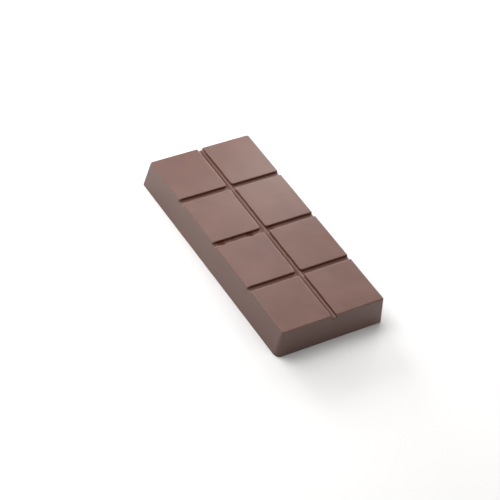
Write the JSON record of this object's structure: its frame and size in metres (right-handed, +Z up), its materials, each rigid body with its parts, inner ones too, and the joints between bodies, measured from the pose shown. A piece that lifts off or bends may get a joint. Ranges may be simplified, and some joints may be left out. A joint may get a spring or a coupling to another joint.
{
  "type": "chocolate bar",
  "caption": "Rectangular moulded milk chocolate bar with leaning side walls, its top scored by straight grooves into square tablets, flat underneath.",
  "frame": {"origin": "centre of the flat underside", "axes": "+Z up from the underside to the scored top, +Y along the bar's length, +X across the bar"},
  "size_m": [0.0472, 0.1, 0.0121],
  "materials": {
    "milk_chocolate": "moulded milk chocolate, satin, brown with a faint pale bloom"
  },
  "bodies": {
    "root": {"chocolate_bar": "milk_chocolate"}
  },
  "joints": []
}
